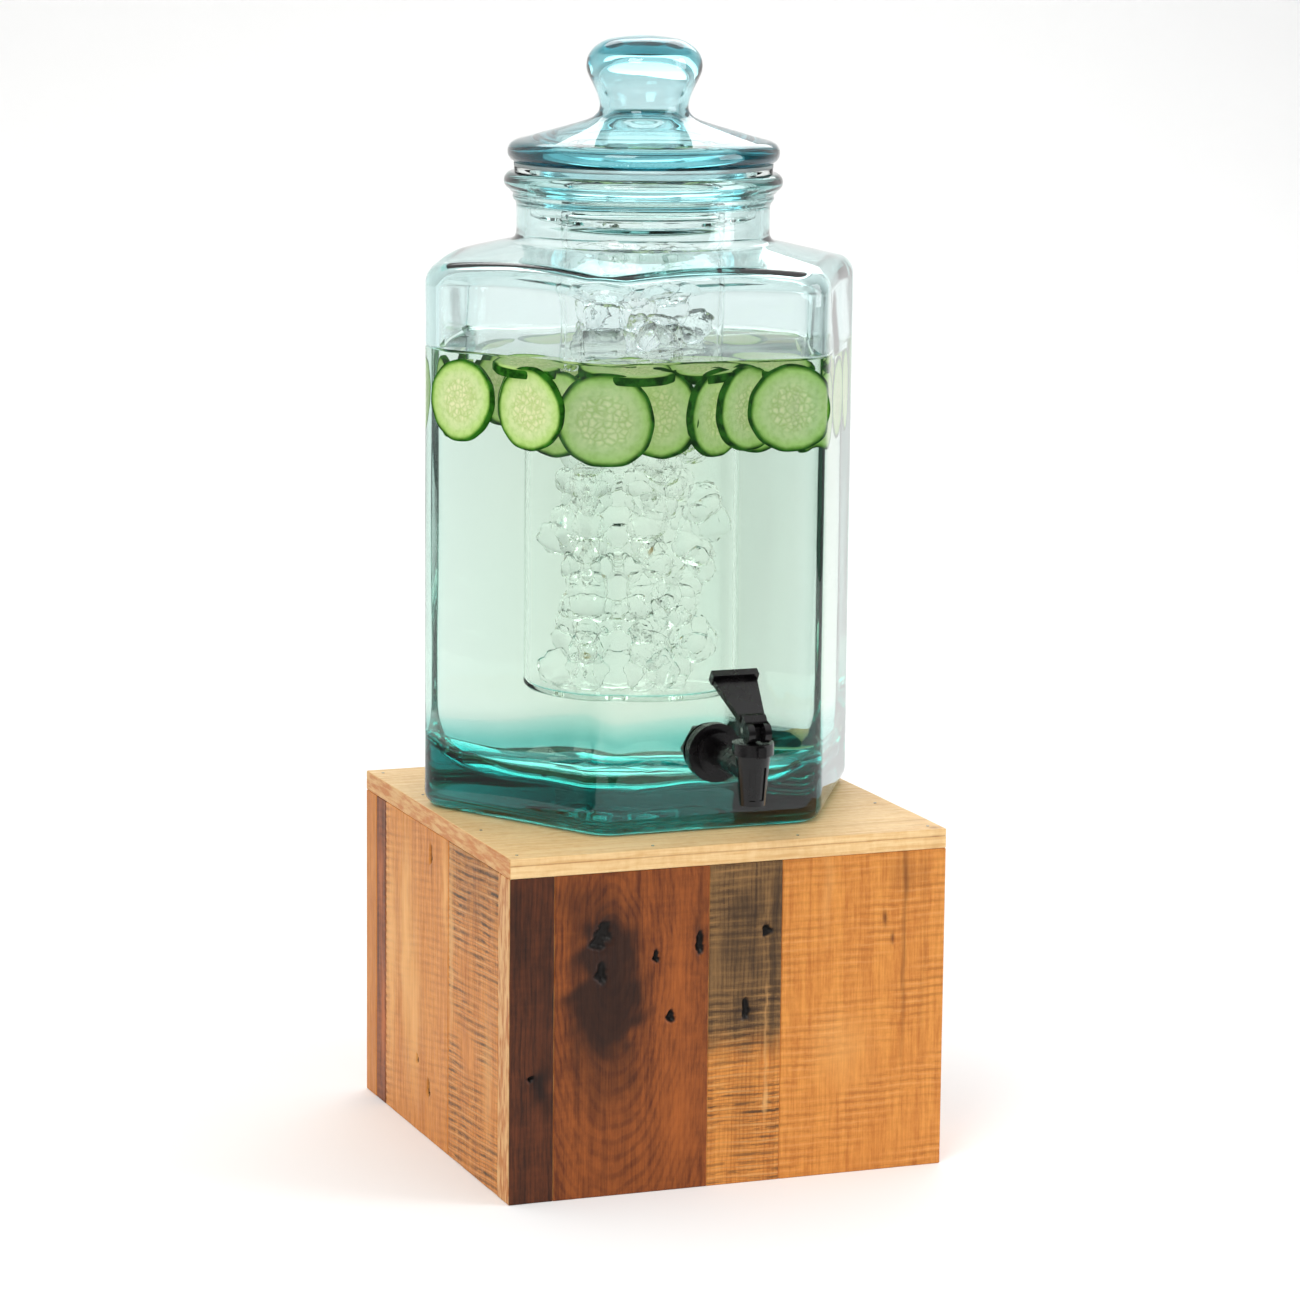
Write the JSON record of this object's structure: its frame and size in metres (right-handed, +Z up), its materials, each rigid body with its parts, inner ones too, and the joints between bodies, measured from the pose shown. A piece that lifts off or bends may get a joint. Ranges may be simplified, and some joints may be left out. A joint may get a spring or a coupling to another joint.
{
  "type": "beverage dispenser",
  "caption": "Hexagonal glass jar with domed glass lid, hanging ice tube and black lever tap, on a square box stand of reclaimed boards.",
  "frame": {"origin": "centre of the stand's underside, on the table", "axes": "+Z up, the tap points to -Y, +X to the right as seen from the tap side"},
  "size_m": [0.25, 0.2926, 0.608],
  "materials": {
    "wood_cream": "pale sawn softwood, clear coat",
    "wood_umber": "dark red-brown reclaimed board, clear coat",
    "wood_russet": "brown reclaimed board with knots, clear coat",
    "wood_weathered": "grey-tan weathered board with saw marks",
    "wood_gold": "golden reclaimed board, clear coat",
    "jar_glass": "pale aqua recycled glass",
    "clear_plastic": "clear polished plastic",
    "clear_silicone": "translucent silicone",
    "tap_plastic": "black moulded plastic, satin gloss",
    "black_rubber": "matt rubber",
    "steel": "plain bright steel",
    "water": "clear water, faintly green; only in the visual model",
    "cucumber": "wet cut cucumber with dark green skin; only in the visual model",
    "ice": "clear ice; only in the visual model"
  },
  "bodies": {
    "stand": {"stand_top": "wood_cream", "stand_bottom": "wood_cream", "front_plank_1": "wood_umber", "front_plank_2": "wood_russet", "front_plank_3": "wood_weathered", "front_plank_4": "wood_gold", "left_plank_1": "wood_weathered", "left_plank_2": "wood_gold", "left_plank_3": "wood_russet", "right_plank_1": "wood_gold", "right_plank_2": "wood_russet", "right_plank_3": "wood_weathered", "back_plank_1": "wood_gold", "back_plank_2": "wood_umber", "back_plank_3": "wood_weathered", "back_plank_4": "wood_russet", "corner_blocks": "wood_cream", "top_cleats": "wood_cream", "pin_nails": "steel"},
    "jar": {"jar": "jar_glass", "tap_body": "tap_plastic", "tap_bonnet": "tap_plastic", "tap_washer_outer": "black_rubber", "tap_washer_inner": "black_rubber", "tap_nut": "tap_plastic"},
    "ice_tube": {"ice_tube": "clear_plastic"},
    "lid": {"lid": "jar_glass", "lid_gasket": "clear_silicone"},
    "tap_stem": {"tap_stem": "tap_plastic", "tap_seat": "black_rubber", "tap_spring": "steel"},
    "tap_handle": {"tap_handle": "tap_plastic", "tap_pin": "steel"}
  },
  "joints": [
    {"name": "jar_lift", "type": "slide", "parent": "stand", "child": "jar", "axis": [0, 0, 1], "range_m": [0, 0.15]},
    {"name": "tube_lift", "type": "slide", "parent": "jar", "child": "ice_tube", "axis": [0, 0, 1], "range_m": [0, 0.3]},
    {"name": "lid_lift", "type": "slide", "parent": "ice_tube", "child": "lid", "axis": [0, 0, 1], "range_m": [0, 0.12]},
    {"name": "stem_lift", "type": "slide", "parent": "jar", "child": "tap_stem", "axis": [0, 0, 1], "range_m": [0, 0.004], "deforming": ["tap_spring"]},
    {"name": "handle_tilt", "type": "hinge", "parent": "tap_stem", "child": "tap_handle", "pos_m": [0, -0.1522, 0.254], "axis": [1, 0, 0], "range_deg": [0, 50], "stiffness_Nm_per_rad": 0.008, "springref_deg": -103.13}
  ],
  "couplings": [
    {"joint": "stem_lift", "follows": "handle_tilt", "m_per_rad": 0.0045}
  ]
}
